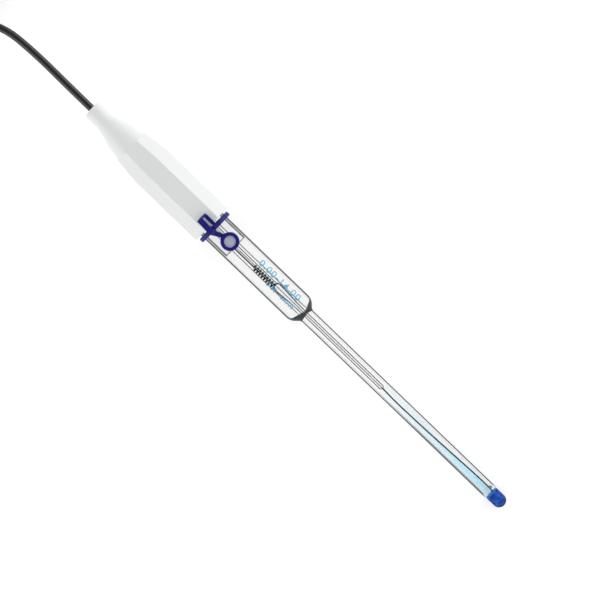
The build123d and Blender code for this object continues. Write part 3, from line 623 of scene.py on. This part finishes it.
def mesh_triangles(mesh):
    """Corners of a mesh of triangles as an array."""
    corners = np.empty(len(mesh.loops), np.int32)
    mesh.loops.foreach_get("vertex_index", corners)
    return corners.reshape(-1, 3)


def finished_mesh(piece):
    """A new mesh of the piece as its modifiers or its letters leave it."""
    bpy.context.view_layer.update()
    return bpy.data.meshes.new_from_object(piece.evaluated_get(bpy.context.evaluated_depsgraph_get()))


silicone = moulded("blue_silicone", SILICONE_LIGHT, SILICONE_DARK, roughness=0.42, mottle=300.0, finish={
    "Specular IOR Level": 0.2,
    "Sheen Weight": 0.05,
    "Sheen Roughness": 0.3,
})
solids = [frame["nodes"][node].data for node in SILICONE_NODES]
offsets = np.cumsum([0] + [len(solid.vertices) for solid in solids[:-1]])
stopper_points = np.concatenate([mesh_points(solid) for solid in solids])
stopper_faces = np.concatenate([mesh_triangles(solid) + offset for solid, offset in zip(solids, offsets)])
stopper = new_piece("stopper", stopper_points, stopper_faces, silicone)
weld = stopper.modifiers.new("weld", "WELD")
weld.merge_threshold = SILICONE_WELD
grow = stopper.modifiers.new("grow", "REMESH")
grow.mode = "VOXEL"
grow.voxel_size = SILICONE_STEP
grow.use_smooth_shade = True
soften = stopper.modifiers.new("soften", "SMOOTH")
soften.factor = 0.5
soften.iterations = SOFTENING_ROUNDS
stopper_mesh = finished_mesh(stopper)
stopper.modifiers.clear()
stopper.data = stopper_mesh
stopper_mesh.polygons.foreach_set("use_smooth", [True] * len(stopper_mesh.polygons))
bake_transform(stopper)
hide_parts(*SILICONE_NODES)

# Peg: a smooth grey plastic moulding, a disc with a nib below it. It is pushed into the stopper's eye, where
# the disc shows.
peg_material = moulded("peg_grey", (0.50, 0.54, 0.66), (0.42, 0.45, 0.56), roughness=0.16, mottle=400.0,
                       finish={"Coat Weight": 0.4})
dress(peg_material, "stopper_peg")

# Print: light blue ink, printed on the barrel and curved round it. Only plain ranges stand there: one row of
# large figures and one of small ones.
INK_BLUE = (0.05, 0.42, 0.70, 1)
INK_WEAR = 1500.0
INK_COVER = (0.3, 0.5, 0.7, 0.95)
INK_SPREAD = 0.012
BARREL_RADIUS = 6.0 * MM
PRINT_LIFT = 0.015 * MM
STRIP_HEIGHT = 0.35 * MM
print_material, print_tree, print_shader = new_material("print_blue")
set_sockets(print_shader, {
    "Alpha": ramp(print_tree, clouds(print_tree, INK_WEAR), *INK_COVER, shape="LINEAR"),
    "Base Color": INK_BLUE,
    "Roughness": 0.5,
})


def printed_row(name, text, size, spacing, start, baseline):
    """Flat figures laid on the barrel: along it by their reading direction, and round it by their height
    above the barrel's middle line, as an angle of height over radius. They are cut in strips first, so that
    they bend."""
    letters = bpy.data.curves.new(name, "FONT")
    letters.body = text
    letters.size = size
    letters.space_character = spacing
    letters.offset = size * INK_SPREAD
    holder = bpy.data.objects.new(name, letters)
    bpy.context.scene.collection.objects.link(holder)
    flat = finished_mesh(holder)
    bpy.data.objects.remove(holder)
    sliced = bmesh.new()
    sliced.from_mesh(flat)
    for level in np.arange(-size, size, STRIP_HEIGHT):
        bmesh.ops.bisect_plane(sliced, geom=sliced.verts[:] + sliced.edges[:] + sliced.faces[:],
                               plane_co=(0, level, 0), plane_no=(0, 1, 0))
    sliced.to_mesh(flat)
    sliced.free()
    points = mesh_points(flat)
    angle = (points[:, 1] + baseline) / BARREL_RADIUS
    reach = BARREL_RADIUS + PRINT_LIFT
    laid = on_electrode(points[:, 0] + start, reach * np.sin(angle), reach * np.cos(angle))
    flat.vertices.foreach_set("co", laid.ravel())
    flat.update()
    flat.materials.clear()
    flat.materials.append(print_material)
    piece = bpy.data.objects.new(name, flat)
    bpy.context.scene.collection.objects.link(piece)
    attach(piece, "electrode")


printed_row("print_large", "0.00-14.00", size=4.1 * MM, spacing=1.18, start=23.2 * MM, baseline=1.35 * MM)
printed_row("print_small", "0-80   6x105", size=2.6 * MM, spacing=1.05, start=30.6 * MM, baseline=-2.5 * MM)

# Plug: a bayonet plug turned from brass and nickel-plated, with a white insulator round its gold-plated pin,
# a red gasket and a steel washer. It is crimped on the cable, and a soft black boot covers the crimp.
nickel_plate = moulded("nickel_plate", (0.62, 0.61, 0.58), (0.52, 0.51, 0.49), roughness=0.24, mottle=500.0,
                       depth=0.008 * MM, finish={"Metallic": 1.0})
gold_plate = moulded("gold_plate", (0.83, 0.58, 0.24), (0.72, 0.49, 0.2), roughness=0.22, mottle=700.0,
                     finish={"Metallic": 1.0})
plug_insulation = moulded("plug_insulation", (0.85, 0.85, 0.83), (0.78, 0.78, 0.77), roughness=0.4)
boot_black = moulded("boot_black", (0.018, 0.018, 0.019), (0.03, 0.03, 0.032), roughness=0.55,
                     depth=0.03 * MM)
gasket_red = moulded("gasket_red", (0.35, 0.06, 0.04), (0.26, 0.04, 0.03), roughness=0.6)
spring_steel = moulded("spring_steel", (0.5, 0.5, 0.5), (0.4, 0.4, 0.41), roughness=0.3, mottle=900.0,
                       finish={"Metallic": 1.0})
dress(nickel_plate, "plug_body", "plug_nut", "plug_ferrule")
dress(gold_plate, "plug_pin")
dress(plug_insulation, "plug_insulator")
dress(boot_black, "plug_boot")
dress(gasket_red, "plug_gasket")
dress(spring_steel, "plug_thrust_washer")

# Wave washer: a thin ring of spring steel, pressed into three waves. It lies loose between the thrust washer
# and the plug's flange. It is built in its free shape, not pressed flatter as the nut is pushed forward.
WASHER_BACK = 20.24 * MM
WASHER_FRONT = 21.78 * MM
WASHER_STEEL = 0.3 * MM
WASHER_RADII = (4.12 * MM, 4.78 * MM)
WASHER_EDGE = 0.05 * MM
WAVES = 3
WASHER_STEPS = 96


def wave_washer():
    """Ring of four lines, inner and outer, back and front. Its height is a sine with three waves round the
    ring."""
    side = np.cross(PLUG_AXIS, (0, 0, 1))
    side /= np.linalg.norm(side)
    other = np.cross(side, PLUG_AXIS)
    angle = np.linspace(0, 2 * np.pi, WASHER_STEPS, endpoint=False)
    swing = (WASHER_FRONT - WASHER_BACK - WASHER_STEEL) / 2
    middle = (WASHER_FRONT + WASHER_BACK) / 2 + swing * np.sin(WAVES * angle)
    inner, outer = WASHER_RADII
    lines = [BOOT_START + (middle + face * WASHER_STEEL / 2)[:, None] * PLUG_AXIS
             + radius * (np.cos(angle)[:, None] * side + np.sin(angle)[:, None] * other)
             for radius, face in ((inner, -1), (outer, -1), (outer, 1), (inner, 1))]
    return np.stack(lines, 1)


def ring_faces(steps, lines):
    """Quads of a ring of lines, in which the last step joins the first and the last line the first."""
    step, line = np.meshgrid(np.arange(steps), np.arange(lines), indexing="ij")
    after, beside = (step + 1) % steps, (line + 1) % lines
    corners = [step * lines + line, step * lines + beside, after * lines + beside, after * lines + line]
    return np.stack(corners, -1).reshape(-1, 4)


washer_points = wave_washer()
washer = new_piece("wave_washer", washer_points, ring_faces(*washer_points.shape[:2]), spring_steel)
washer_bevel = washer.modifiers.new("edges", "BEVEL")
washer_bevel.width = WASHER_EDGE
washer_bevel.segments = 2
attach(washer, "electrode")
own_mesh(washer)
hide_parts("plug_spring")
